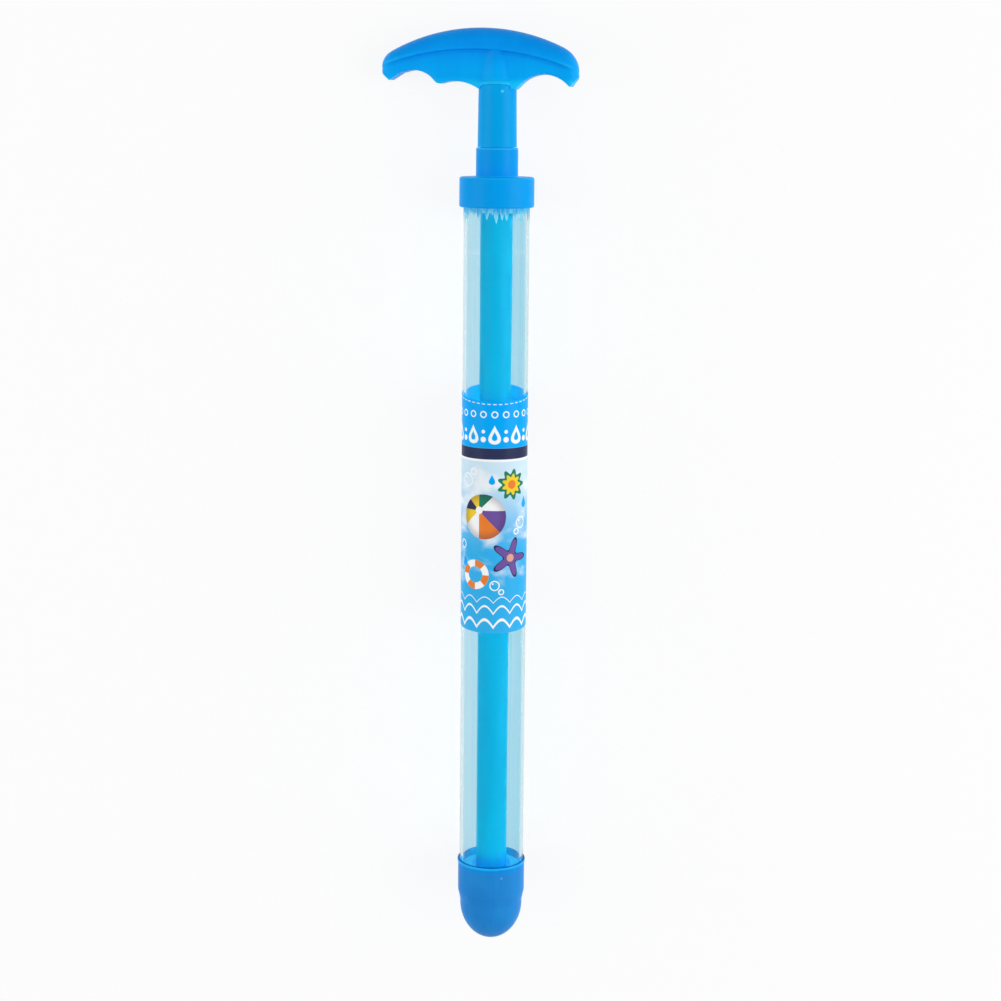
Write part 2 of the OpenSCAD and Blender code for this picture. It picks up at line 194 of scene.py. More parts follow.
def moulded_plastic(name, colour, roughness, fades=(), edge=None, crease=None, mottle=0.5, glow=None,
                    painted_inner_light=None):
    """Coloured plastic from a mould: flow streaks along the axis, faint clouding, scuffs and a fine skin.
    Each fade is a stretch along the axis, in millimetres, over which the colour runs into another.
    An edge is a depth in millimetres and a painted highlight colour; a crease, a depth and a painted shade.
    The glow is the colour of the light that a face lets through. The last argument is painted light in a
    mouth: the radius, in millimetres, within which the mouth is painted a lighter colour with a faint glow,
    standing in for light that comes through the wall, the place along the axis where it starts, and that
    colour."""
    shader = Shader(name)
    place = shader.millimetres()
    along = shader.node("SeparateXYZ", {0: place}).outputs["X"]
    clouds = shader.noise(place, 0.06)
    streaks = shader.noise(shader.stretched(place, 0.03, 0.5), 1.0, 3.0)
    skin = shader.noise(place, 3.5, 3.0)
    scuffs = shader.noise(shader.stretched(place, 0.5, 1.6), 1.0, 5.0)
    base = colour
    for start, end, other in fades:
        base = shader.mixed(shader.ranged(along, start, end, 0.0, 1.0), base, other)
    # Painted shade: creases found by occlusion turn a deeper colour
    if crease:
        depth, painted_shade_colour = crease
        outer = shader.node("AmbientOcclusion", {"Distance": depth * MM})
        base = shader.mixed(shader.ranged(outer.outputs["AO"], 0.6, 0.97, 0.9, 0.0), base, painted_shade_colour)
    # Painted highlight: thin edges found by occlusion from inside turn a paler colour
    if edge:
        depth, painted_highlight_colour = edge
        inner = shader.node("AmbientOcclusion", {"Distance": depth * MM}, inside=True, only_local=True)
        base = shader.mixed(shader.ranged(inner.outputs["AO"], 0.55, 0.95, 0.75, 0.0), base, painted_highlight_colour)
    shade = shader.math("MULTIPLY_ADD", streaks, 0.3, shader.math("MULTIPLY", clouds, 0.7))
    base = shader.mixed(shader.ranged(shade, 0.36, 0.64, mottle, 0.0), base, MOTTLE, "MULTIPLY")
    # Painted light: within the radius the mouth turns a lighter colour and glows a little
    if painted_inner_light:
        radius, start, inner_light_colour = painted_inner_light
        within = shader.ranged(shader.radius(place), radius - 0.02, radius + 0.02, 1.0, 0.0)
        inner_light_share = shader.math("MULTIPLY", within, shader.ranged(along, start, start + 2.0, 0.0, 1.0))
        base = shader.mixed(inner_light_share, base, inner_light_colour)
    finish = shader.ranged(scuffs, 0.35, 0.75, roughness - 0.05, roughness + 0.1)
    height = shader.math("MULTIPLY_ADD", streaks, 1.5, skin)
    plastic = shader.node("BsdfPrincipled", {
        "Base Color": base,
        "Roughness": finish,
        "IOR": PLASTIC_IOR,
        "Specular IOR Level": PLASTIC_SPECULAR,
        "Normal": shader.bumped(height, SKIN_RISE)})
    if painted_inner_light:
        shader.put(plastic.inputs["Emission Color"], inner_light_colour)
        shader.put(plastic.inputs["Emission Strength"], shader.math("MULTIPLY", inner_light_share, PAINTED_WALL_GLOW))
    surface = plastic.outputs[0]
    if glow:
        surface = let_light_in(shader, surface, glow)
    return shader.surface(surface)


def clear_plastic(name, tint, side_tint):
    """Clear blue-tinted tube, bluer on its -Y side: streaks and die lines, a worn ring and light scuffs."""
    shader = Shader(name)
    place = shader.millimetres()
    along, aside = shader.node("SeparateXYZ", {0: place}).outputs[:2]
    streaks = shader.noise(shader.stretched(place, 0.006, 0.35), 1.0, 3.0)
    scuffs = shader.noise(shader.stretched(place, 0.08, 0.8), 1.0, 6.0)
    reach = barrel_r / MM
    side = shader.math("MULTIPLY_ADD", streaks, reach, shader.math("SUBTRACT", aside, reach / 2))
    colour = shader.mixed(shader.ranged(side, -reach, reach, 1.0, 0.0), tint, side_tint)
    lines = shader.noise(shader.stretched(place, 0.004, 1.2), 1.0, 2.0)
    colour = shader.mixed(shader.ranged(lines, 0.42, 0.6, 0.0, 0.6), colour, DIE_LINE)
    ring = shader.math("ABSOLUTE", shader.math("SUBTRACT", along, WORN_RING))
    worn = shader.ranged(ring, 0.2, 0.9, 1.0, 0.0)
    worn = shader.math("MULTIPLY", worn, shader.ranged(scuffs, 0.42, 0.58, 0.0, 0.35))
    colour = shader.mixed(worn, colour, CLEAR)
    glass = shader.node("BsdfPrincipled", {
        "Base Color": colour,
        "Roughness": shader.ranged(scuffs, 0.45, 0.8, 0.02, 0.14),
        "IOR": TUBE_IOR,
        "Specular Tint": TUBE_GLINT,
        "Transmission Weight": 1.0,
        "Normal": shader.bumped(streaks, STREAK_RISE)})
    return shader.surface(let_light_in(shader, glass.outputs[0], TUBE_GLOW))


def seal_rubber(name):
    """Dull dark rubber with a fine grain."""
    shader = Shader(name)
    place = shader.millimetres()
    grain = shader.noise(place, 5.0, 4.0)
    base = shader.mixed(grain, srgb(22, 24, 28), srgb(44, 47, 52))
    rubber = shader.node("BsdfPrincipled", {
        "Base Color": base,
        "Roughness": shader.ranged(grain, 0.3, 0.7, 0.5, 0.75),
        "Normal": shader.bumped(grain, GRAIN_RISE)})
    return shader.surface(rubber.outputs[0])


# Label
BRIGHT_BLUE = srgb(2, 170, 251)
SKY_BLUE = srgb(52, 178, 238)
PALE_BLUE = srgb(206, 232, 247)
NAVY = srgb(46, 52, 86)
YELLOW = srgb(243, 208, 46)
ORANGE = srgb(236, 130, 52)
GREEN = srgb(30, 128, 96)
PURPLE = srgb(112, 84, 158)
PLUM = srgb(58, 44, 84)
TAN = srgb(226, 168, 140)
# Colour of the film's inner side, kept light in place of light through the film, and of the glow painted on
# it
FILM_BACK_LIT = srgb(0, 204, 248)
# Strength of the glow painted on the film's inner side, standing in for light that comes through from outside
PAINTED_FILM_GLOW = 0.35
# Half width of an ink edge and thickness of the film, in millimetres, and panels round the film
INK_EDGE = 0.1
FILM = 0.15
PANELS = 2
# Things repeated round the film, and heights of the stripes, in millimetres up from its lowest point
DROPS = 9
BUBBLES = 18
DASHES = 36
CRESTS = 12
WHITE_LINE = 75.0
NAVY_STRIPE = 76.0
BLUE_BAND = 80.8
TOP_SLOPE = math.tan(math.radians(9.0))
FOOT_SLOPE = math.tan(math.radians(5.0))
label_top = label_high.x - label_r * TOP_SLOPE
label_foot = label_low.x + label_r * FOOT_SLOPE


class Print(Shader):
    """A print round the barrel, drawn in millimetres across the film and up it from its end at the nozzle.
    The panel in front repeats round the film."""

    def __init__(self, name):
        super().__init__(name)
        self.place = self.millimetres()
        along, aside, self.height = self.node("SeparateXYZ", {0: self.place}).outputs
        self.turn = self.math("ARCTAN2", self.math("MULTIPLY", aside, -1.0), self.height)
        self.across = self.math("MULTIPLY", self.turn, label_r / MM)
        self.round = 2 * math.pi * label_r / MM
        self.panel = self.column(PANELS)
        self.up = self.math("SUBTRACT", along, label_low.x / MM)
        self.ink = None

    def column(self, count):
        """The distance across from the nearest of several even places round the film."""
        half = self.round / count / 2
        return self.math("WRAP", self.across, half, -half)

    def paint(self, share, colour):
        """Lays a colour over the print."""
        self.ink = self.mixed(share, self.ink, colour)

    def filled(self, distance):
        """1 inside an edge and 0 outside it, from the signed distance to the edge."""
        return self.ranged(distance, -INK_EDGE, INK_EDGE, 1.0, 0.0)

    def apart(self, across, up, column=None):
        """How far the film's point lies across and up from a place on it."""
        return self.math("SUBTRACT", column or self.panel, across), self.math("SUBTRACT", self.up, up)

    def distance(self, across, up, column=None):
        """The distance of the film's point from a place on it."""
        dx, dy = self.apart(across, up, column)
        return self.math("SQRT", self.math("MULTIPLY_ADD", dx, dx, self.math("MULTIPLY", dy, dy)))

    def bearing(self, across, up):
        """The angle at which the film's point lies from a place on it."""
        dx, dy = self.apart(across, up)
        return self.math("ARCTAN2", dy, dx)

    def band(self, low, high, colour):
        """A stripe round the film."""
        middle = self.math("SUBTRACT", self.up, (low + high) / 2)
        offset = self.math("ABSOLUTE", middle)
        self.paint(self.filled(self.math("SUBTRACT", offset, (high - low) / 2)), colour)

    def disc(self, across, up, radius, colour, column=None):
        """A filled circle."""
        distance = self.distance(across, up, column)
        self.paint(self.filled(self.math("SUBTRACT", distance, radius)), colour)

    def bubble(self, across, up, radius, width, colour, column=None):
        """A circle's line."""
        distance = self.distance(across, up, column)
        offset = self.math("ABSOLUTE", self.math("SUBTRACT", distance, radius))
        self.paint(self.filled(self.math("SUBTRACT", offset, width / 2)), colour)

    def star(self, across, up, arms, outer, inner, sharpness, colour):
        """A star with rounded arms."""
        distance = self.distance(across, up)
        swell = self.math("COSINE", self.math("MULTIPLY", self.bearing(across, up), arms))
        swell = self.math("MULTIPLY_ADD", swell, 0.5, 0.5)
        swell = self.math("POWER", swell, sharpness)
        edge = self.math("MULTIPLY_ADD", swell, outer - inner, inner)
        self.paint(self.filled(self.math("SUBTRACT", distance, edge)), colour)

    def drop(self, across, up, half_length, half_width, colour, column=None):
        """A drop of water with its point towards the grip."""
        dx = self.math("ABSOLUTE", self.math("SUBTRACT", column or self.panel, across))
        share = self.math("DIVIDE", self.math("SUBTRACT", self.up, up), half_length)
        inside = self.math("MAXIMUM", self.math("SUBTRACT", 1.0, self.math("MULTIPLY", share, share)), 0.0)
        taper = self.math("MULTIPLY", self.math("SUBTRACT", 1.0, share), self.math("SQRT", inside))
        edge = self.math("MULTIPLY_ADD", taper, half_width / 1.3, -INK_EDGE)
        self.paint(self.filled(self.math("SUBTRACT", dx, edge)), colour)

    def waves(self, base, height, count, width, colour):
        """A line of wave crests round the film."""
        swing = self.math("SINE", self.math("MULTIPLY", self.turn, count / 2))
        crest = self.math("MULTIPLY_ADD", self.math("ABSOLUTE", swing), height, base)
        offset = self.math("ABSOLUTE", self.math("SUBTRACT", self.up, crest))
        self.paint(self.filled(self.math("SUBTRACT", offset, width / 2)), colour)

    def ball(self, across, up, radius, colours):
        """A beach ball with coloured gores, seen a little from one side of its pole."""
        distance = self.distance(across, up)
        pole_across = across - radius * 0.22
        pole_up = up + radius * 0.28
        turn = self.math("MULTIPLY_ADD", self.bearing(pole_across, pole_up), 0.5 / math.pi, 0.5)
        gores = self.node("ValToRGB", {0: turn})
        gores.color_ramp.interpolation = "CONSTANT"
        stops = gores.color_ramp.elements
        while len(stops) < len(colours):
            stops.new(1.0)
        for i, colour in enumerate(colours):
            stops[i].position = i / len(colours)
            stops[i].color = colour
        shape = self.filled(self.math("SUBTRACT", distance, radius))
        self.paint(shape, gores.outputs[0])
        self.disc(pole_across, pole_up, radius * 0.17, WHITE)
        shade = self.ranged(distance, radius * 0.55, radius * 1.05, 0.0, 0.45)
        self.paint(self.math("MULTIPLY", shade, shape), PLUM)

    def ring(self, across, up, radius, width, sectors, first, second):
        """A swim ring in two colours by turns."""
        distance = self.distance(across, up)
        swing = self.math("SINE", self.math("MULTIPLY", self.bearing(across, up), sectors / 2))
        colour = self.mixed(self.ranged(swing, -0.08, 0.08, 0.0, 1.0), first, second)
        offset = self.math("ABSOLUTE", self.math("SUBTRACT", distance, radius))
        self.paint(self.filled(self.math("SUBTRACT", offset, width / 2)), colour)


def label_print(name):
    """Printed film: waves, bubbles and drops on blue, a navy stripe, and beach things on a clouded sky."""
    art = Print(name)
    sky = art.ranged(art.up, 34.0, 74.0, 0.0, 1.0)
    art.ink = art.mixed(sky, SKY_BLUE, PALE_BLUE)
    clouds = art.noise(art.stretched(art.place, 0.09, 0.06), 1.0, 3.0)
    art.paint(art.ranged(clouds, 0.47, 0.7, 0.0, 0.8), WHITE)
    low_water = art.ranged(art.up, 14.0, 26.0, 1.0, 0.0)
    art.paint(low_water, SKY_BLUE)

    # Beach things on the sky
    art.ring(-8.5, 25.5, 5.0, 2.9, 8, ORANGE, WHITE)
    art.star(7.5, 33.0, 5, 9.2, 3.6, 1.6, PLUM)
    art.star(7.5, 33.0, 5, 8.2, 2.9, 1.6, PURPLE)
    art.disc(7.5, 33.0, 1.7, TAN)
    art.star(8.0, 65.0, 9, 6.8, 4.6, 1.0, GREEN)
    art.star(8.0, 65.0, 9, 4.7, 3.2, 1.0, YELLOW)
    art.disc(8.0, 65.0, 1.9, ORANGE)
    art.ball(-4.5, 51.0, 9.8, [YELLOW, WHITE, ORANGE, PURPLE, WHITE, GREEN, YELLOW, NAVY])

    # Bubbles and drops between them
    for across, up, radius in [(13.0, 48.0, 2.4), (10.5, 44.3, 1.2), (-13.0, 66.5, 2.8), (-9.6, 70.4, 1.4),
                               (0.5, 21.0, 2.0), (3.4, 18.2, 1.1), (-16.0, 38.0, 1.8)]:
        art.bubble(across, up, radius, 0.5, WHITE)
        art.disc(across - radius * 0.4, up + radius * 0.4, radius * 0.2, WHITE)
    for across, up, half_length in [(-14.5, 31.0, 2.6), (15.5, 57.0, 2.8), (-1.0, 67.5, 2.4)]:
        art.drop(across, up, half_length, half_length * 0.62, BRIGHT_BLUE)

    # Waves at the nozzle's end
    art.waves(2.6, 3.4, CRESTS, 1.3, WHITE)
    art.waves(8.6, 3.4, CRESTS, 0.9, WHITE)
    art.waves(13.4, 2.6, CRESTS, 0.4, WHITE)

    # Stripe, drops and bubbles at the grip's end
    end = (label_high.x - label_low.x) / MM
    art.band(BLUE_BAND, end + 1.0, BRIGHT_BLUE)
    art.band(NAVY_STRIPE, BLUE_BAND, NAVY)
    art.band(WHITE_LINE, NAVY_STRIPE, WHITE)
    drops = art.column(DROPS)
    between = art.math("SUBTRACT", art.math("ABSOLUTE", drops), art.round / DROPS / 2)
    art.drop(0.0, 86.9, 4.3, 2.8, WHITE, drops)
    art.drop(0.0, 86.3, 2.2, 1.3, BRIGHT_BLUE, drops)
    art.disc(0.0, 88.0, 0.8, WHITE, between)
    art.disc(0.0, 84.6, 1.2, WHITE, between)
    art.bubble(0.0, 95.4, 1.25, 0.5, WHITE, art.column(BUBBLES))
    dashes = art.filled(art.math("SUBTRACT", art.math("ABSOLUTE", art.column(DASHES)), 0.7))
    edge = art.math("MULTIPLY_ADD", art.height, -TOP_SLOPE, (label_top - label_low.x) / MM - 1.1)
    line = art.math("ABSOLUTE", art.math("SUBTRACT", art.up, edge))
    art.paint(art.math("MULTIPLY", dashes, art.filled(art.math("SUBTRACT", line, 0.16))), WHITE)

    # Painted light: the film's inner side is painted light and given a faint glow
    outer = label_r / MM
    inside = art.ranged(art.radius(art.place), outer - FILM * 0.8, outer - FILM * 0.5, 1.0, 0.0)
    art.paint(inside, FILM_BACK_LIT)
    creases = art.noise(art.stretched(art.place, 0.05, 0.12), 1.0, 2.0)
    film = art.node("BsdfPrincipled", {
        "Base Color": art.ink,
        "Roughness": art.ranged(creases, 0.3, 0.7, 0.24, 0.38),
        "Specular IOR Level": PLASTIC_SPECULAR,
        "Emission Color": FILM_BACK_LIT,
        "Emission Strength": art.math("MULTIPLY", inside, PAINTED_FILM_GLOW),
        "Normal": art.bumped(creases, CREASE_RISE)})
    return art.surface(let_light_in(art, film.outputs[0], PALE_BLUE))


def glue_frost(name):
    """Dried glue: a frosted film with clots, painted a deeper blue near the collar as its shadow."""
    shader = Shader(name)
    place = shader.millimetres()
    along = shader.node("SeparateXYZ", {0: place}).outputs["X"]
    clots = shader.noise(shader.stretched(place, 0.3, 0.9), 1.0, 3.0)
    collar_end = collar_low.x / MM
    # Painted shadow of the collar: the film turns deeper blue just under it
    near = shader.ranged(along, collar_end - 4.0, collar_end - 0.6, 0.0, 1.0)
    thick = shader.ranged(clots, 0.35, 0.65, 0.0, 1.0)
    pale = shader.mixed(thick, srgb(104, 204, 234), srgb(168, 228, 244))
    collar_shadow_colour = shader.mixed(thick, srgb(48, 166, 224), srgb(104, 198, 230))
    film = shader.node("BsdfPrincipled", {
        "Base Color": shader.mixed(near, pale, collar_shadow_colour),
        "Roughness": shader.ranged(clots, 0.3, 0.7, 0.3, 0.6),
        "Specular IOR Level": PLASTIC_SPECULAR})
    return shader.surface(let_light_in(shader, film.outputs[0], CLEAR))


# Heights of the collar's neck and of the grip over the rod's head, the rod's stop gap and the stretch where
# the rod leaves the cap's shade, in millimetres
NECK_HEIGHT = 12.4
GRIP_RISE = 25.2
STOP_GAP = 0.2
ROD_SHADE = (34.0, 41.0)
# Places along the axis where colours change, in millimetres
neck_x = collar_high.x / MM
plate_x = neck_x - NECK_HEIGHT
cap_x = cap_high.x / MM
grip_x = grip_high.x / MM
head_x = neck_x + STOP_GAP
lip_x = grip_x - GRIP_RISE
# Light that the rod and the caps let through
ROD_GLOW = (0.6, 0.92, 0.97, 1.0)
CAP_GLOW = (0.75, 0.92, 0.99, 1.0)
# Grip: paler at the lip, deeper towards the palm bar; painted highlight on thin edges, painted shade in
# creases
GRIP_FINISH = moulded_plastic(
    "grip_blue", srgb(16, 198, 255), 0.34,
    [(lip_x + 1.0, lip_x + 4.5, srgb(0, 171, 251)), (grip_x - 19.0, grip_x - 7.0, srgb(0, 151, 243))],
    (1.8, srgb(30, 190, 255)), (2.5, srgb(0, 112, 205)))
# Cap: bluer towards the rim, a painted highlight on the rim, a painted shadow in the gap at the tube,
# and a lighter glowing mouth painted in place of light that comes through the wall
CAP_FINISH = moulded_plastic(
    "nozzle_blue", srgb(36, 138, 215), 0.36,
    [(cap_x - 4.0, cap_x - 1.6, srgb(10, 146, 230)), (cap_x - 1.6, cap_x - 1.0, srgb(30, 178, 252)),
     (cap_x - 0.4, cap_x - 0.15, srgb(0, 104, 184))],
    None, None, 0.8, CAP_GLOW, (barrel_r / MM + 0.08, cap_x - 14.0, srgb(40, 202, 240)))
TUBE_FINISH = clear_plastic("clear_tube", srgb(212, 236, 243), srgb(196, 233, 242))
# Snap nubs and gate mark are painted pale as highlights
SNAP_NUB_HIGHLIGHT = moulded_plastic("nub_painted_highlight", srgb(60, 212, 255), 0.3)
GATE_MARK_HIGHLIGHT = moulded_plastic("gate_painted_highlight", srgb(90, 165, 250), 0.3)
FINISHES = {
    "nozzle_cap": CAP_FINISH,
    # Collar: painted highlights on the plate's top edge and on the neck's top edge
    "collar": moulded_plastic(
        "collar_blue", srgb(0, 160, 240), 0.36,
        [(plate_x - 1.0, plate_x - 0.4, srgb(20, 180, 252)),
         (plate_x + 0.1, plate_x + 0.8, srgb(0, 156, 236)),
         (neck_x - 1.0, neck_x - 0.4, srgb(40, 186, 252))],
        None, None, 0.4, CAP_GLOW),
    # Piston: painted pale all over with a faint glow, standing in for light that comes into the cap
    "piston_head": moulded_plastic(
        "piston_blue", srgb(128, 208, 255), 0.36, (), None, None, 0.4, CAP_GLOW,
        (barrel_r / MM, 0.0, srgb(60, 198, 240))),
    "front_seal": seal_rubber("seal_rubber"),
    "rear_seal": seal_rubber("rear_seal_rubber"),
    # Rod: painted darker within the cap as the cap's shade, and bluer at its head
    "push_rod": moulded_plastic(
        "rod_blue", srgb(4, 142, 200), 0.34,
        [(*ROD_SHADE, srgb(0, 179, 211)), (head_x - 3.0, head_x, srgb(0, 166, 236))],
        None, None, 0.3, ROD_GLOW),
    "rod_plug": moulded_plastic("plug_white", srgb(232, 236, 238), 0.4),
}
for node, material in FINISHES.items():
    dress(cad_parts[node], material)


# Pieces
def add_piece(name, mesh, material, body):
    """Links a new mesh as a piece that rides on a body."""
    piece = bpy.data.objects.new(name, mesh)
    bpy.context.scene.collection.objects.link(piece)
    dress(piece, material)
    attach(piece, body)
    return piece


# Size of the cells that the grip is built from again, in millimetres, and rounds of smoothing
CELL = 0.3
SMOOTH_PASSES = 8
# Roll of the grip about the axis at rest
REST_ROLL = math.radians(11.1)
# Small moves of the grip's outer corners: place along and across the grip, how far round it the move reaches,
# and the move, in millimetres
CORNER_MOVES = [
    ((379.8, 48.8), 3.6, (-0.5, 0.6)),
    ((378.4, -34.6), 3.6, (-0.4, -0.4)),
]
# Straight cuts that blunt the grip's tips and its foot beside the rod: the two ends of each, along and across
# the grip, in millimetres, run on past the tip
TIP_CUTS = [
    ((384.6, 54.6), (376.0, 44.9)),
    ((376.5, 48.5), (381.3, 40.7)),
    ((380.5, -36.1), (373.3, -30.1)),
    ((373.8, -33.4), (377.7, -28.0)),
    ((374.0, -8.1), (376.5, -11.1)),
]
# Places of the two blunt tips, along and across the grip, how far round them they are eased, in millimetres,
# and in how many rounds
TIPS = [(377.6, 46.7), (375.1, -31.6)]
TIP_REACH = 5.0
TIP_PASSES = 30


def move_corner(mesh, centre, reach, push, spread):
    """Moves the points round a place, the nearest ones most."""
    for vertex in mesh.vertices:
        share = 1 - (vertex.co.xy - centre).length / reach
        if share > 0:
            ease = share * share * (3 - 2 * share)
            vertex.co.x += ease * push
            vertex.co.y += ease * spread


def move_corners(mesh):
    """Fills the grip's outer corners out, in the grip's own plane."""
    level = Matrix.Rotation(REST_ROLL, 4, "X")
    mesh.transform(level)
    for centre, reach, (push, spread) in CORNER_MOVES:
        move_corner(mesh, Vector(centre) * MM, reach * MM, push * MM, spread * MM)
    mesh.transform(level.inverted())


def tip_cutter(start, end):
    """A block for a cut, with one face on the line between two places and the rest towards the nozzle."""
    depth = 6.0 * MM
    half_height = 20.0 * MM
    line = end - start
    out = Vector((line.y, -line.x)).normalized() * depth
    if out.x > 0:
        out = -out
    corners = [start, end, end + out, start + out]
    vertices = [(*corner, height) for height in (-half_height, half_height) for corner in corners]
    faces = [(0, 1, 2, 3), (4, 5, 6, 7), (0, 1, 5, 4), (1, 2, 6, 5), (2, 3, 7, 6), (3, 0, 4, 7)]
    mesh = bpy.data.meshes.new("tip_cutter")
    mesh.from_pydata(vertices, [], faces)
    shape = bmesh.new()
    shape.from_mesh(mesh)
    bmesh.ops.recalc_face_normals(shape, faces=shape.faces)
    shape.to_mesh(mesh)
    shape.free()
    mesh.transform(Matrix.Rotation(-REST_ROLL, 4, "X"))
    cutter = bpy.data.objects.new("tip_cutter", mesh)
    bpy.context.scene.collection.objects.link(cutter)
    return cutter


def changed_mesh(piece, kind, **settings):
    """The mesh of a piece after one modifier."""
    modifier = piece.modifiers.new(kind.lower(), kind)
    for name, value in settings.items():
        setattr(modifier, name, value)
    shown = piece.evaluated_get(bpy.context.evaluated_depsgraph_get())
    mesh = bpy.data.meshes.new_from_object(shown)
    piece.modifiers.clear()
    return mesh


def ease_tips(mesh):
    """Eases the ends of the grip's tips across its thickness, with their outline kept."""
    level = Matrix.Rotation(REST_ROLL, 4, "X")
    shape = bmesh.new()
    shape.from_mesh(mesh)
    shape.transform(level)
    centres = [Vector(tip) * MM for tip in TIPS]
    near = [point for point in shape.verts
            if min((point.co.xy - centre).length for centre in centres) < TIP_REACH * MM]
    for i in range(TIP_PASSES):
        bmesh.ops.smooth_vert(shape, verts=near, factor=0.5, use_axis_z=True)
    shape.transform(level.inverted())
    shape.to_mesh(mesh)
    shape.free()


def soften_grip():
    """The grip with its moulded edges eased and its tips cut blunt."""
    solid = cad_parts["handle_grip"].data.copy()
    grip = add_piece("grip_moulding", solid, GRIP_FINISH, "plunger")
    cells = {"mode": "VOXEL", "voxel_size": CELL * MM}
    grip.data = changed_mesh(grip, "REMESH", **cells)
    move_corners(grip.data)
    for start, end in TIP_CUTS:
        cutter = tip_cutter(Vector(start) * MM, Vector(end) * MM)
        grip.data = changed_mesh(grip, "BOOLEAN", object=cutter, operation="DIFFERENCE", solver="MANIFOLD")
        bpy.data.objects.remove(cutter)
    grip.data = changed_mesh(grip, "REMESH", **cells)
    grip.data = changed_mesh(grip, "SMOOTH", factor=0.5, iterations=SMOOTH_PASSES)
    ease_tips(grip.data)
    grip.data.shade_smooth()
    dress(grip, GRIP_FINISH)
    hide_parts("handle_grip")


def turned_mesh(name, profile, sides):
    """A closed mesh turned about Z from points of radius and height, the first and last on the axis."""
    vertices = [(0.0, 0.0, profile[0][1])]
    rings = profile[1:-1]
    for radius, height in rings:
        for i in range(sides):
            angle = 2 * math.pi * i / sides
            vertices.append((radius * math.cos(angle), radius * math.sin(angle), height))
    last = len(vertices)
    vertices.append((0.0, 0.0, profile[-1][1]))
    faces = []
    for i in range(sides):
        j = (i + 1) % sides
        faces.append((0, 1 + j, 1 + i))
        for k in range(len(rings) - 1):
            low = 1 + k * sides
            high = low + sides
            faces.append((low + i, low + j, high + j, high + i))
        top = 1 + (len(rings) - 1) * sides
        faces.append((top + i, top + j, last))
    mesh = bpy.data.meshes.new(name)
    mesh.from_pydata(vertices, [], faces)
    mesh.shade_smooth()
    return mesh


def set_on_axis(mesh, along, lean):
    """Carries a mesh made about Z to a place along the squirter's axis, leant from the top towards -Y."""
    mesh.transform(Matrix.Translation((along, 0.0, 0.0)) @ Matrix.Rotation(lean, 4, "X"))


def button_profile(radius, foot, face, dome):
    """Profile of a round nub with a straight side and a low dome."""
    steps = 6
    profile = [(0.0, foot), (radius, foot)]
    for i in range(steps):
        angle = math.pi / 2 * i / steps
        profile.append((radius * math.cos(angle), face + dome * math.sin(angle)))
    profile.append((0.0, face + dome))
    return profile


# Snap nubs: how far the head's side lies within its box, radius, root, dome, place and lean
NUB_SINK = 0.26 * MM
NUB_R = 0.7 * MM
NUB_ROOT = 1.5 * MM
NUB_DOME = 0.25 * MM
NUB_DROP = 2.84 * MM
NUB_LEAN = math.radians(13.9)
# Gate mark: rise of the rim over the skirt, radius, root, dome, place and lean
RIM_PROUD = 0.3 * MM
GATE_R = 0.55 * MM
GATE_ROOT = 0.2 * MM
GATE_DOME = 0.16 * MM
GATE_X = 31.0 * MM
GATE_LEAN = math.radians(18.0)


def add_nubs():
    """The two snap nubs that lock the grip into the rod's head, and the mould's gate mark on the cap, painted
    pale as highlights.
    """
    sides = 24
    head_r = rod_high.z - NUB_SINK
    for name, lean in (("snap_nub_front", NUB_LEAN), ("snap_nub_back", NUB_LEAN + math.pi)):
        mesh = turned_mesh(name, button_profile(NUB_R, head_r - NUB_ROOT, head_r, NUB_DOME), sides)
        set_on_axis(mesh, rod_high.x - NUB_DROP, lean)
        add_piece(name, mesh, SNAP_NUB_HIGHLIGHT, "plunger")
    skirt_r = cap_high.z - RIM_PROUD
    mesh = turned_mesh("gate_mark", button_profile(GATE_R, skirt_r - GATE_ROOT, skirt_r, GATE_DOME), sides)
    set_on_axis(mesh, GATE_X, GATE_LEAN)
    add_piece("gate_mark", mesh, GATE_MARK_HIGHLIGHT, "barrel")


# Columns round the tube and the label, and round the glue
COLUMNS = 180
GLUE_COLUMNS = 360
# Glue: least reach from the collar, number of runs, and the least and most of half their width, in degrees,
# and of their reach, in millimetres
GLUE_BASE = 2.0 * MM
GLUE_RUNS = 36
RUN_HALF = (3.5, 8.0)
RUN_REACH = (2.5, 7.0)


def glue_reach(teeth, angle):
    """How far the glue runs down from the collar at an angle round the barrel."""
    reach = GLUE_BASE
    for middle, half, length in teeth:
        offset = abs((angle - middle + math.pi) % (2 * math.pi) - math.pi)
        if offset < half:
            reach = max(reach, length * (1 - offset / half) ** 0.8)
    return reach


def wrapped_mesh(name, columns, section):
    """A closed band round the squirter's axis. The section at an angle is a loop of places along the axis
    and radii, out along the outer side and back along the inner one."""
    vertices = []
    for i in range(columns):
        angle = 2 * math.pi * i / columns
        loop = section(angle)
        for along, radius in loop:
            vertices.append((along, -radius * math.sin(angle), radius * math.cos(angle)))
    size = len(loop)
    faces = []
    for i in range(columns):
        here = i * size
        there = (i + 1) % columns * size
        for k in range(size):
            j = (k + 1) % size
            faces.append((here + k, there + k, there + j, here + j))
    mesh = bpy.data.meshes.new(name)
    mesh.from_pydata(vertices, [], faces)
    mesh.shade_smooth()
    mesh.set_sharp_from_angle(angle=math.radians(40.0))
    return mesh


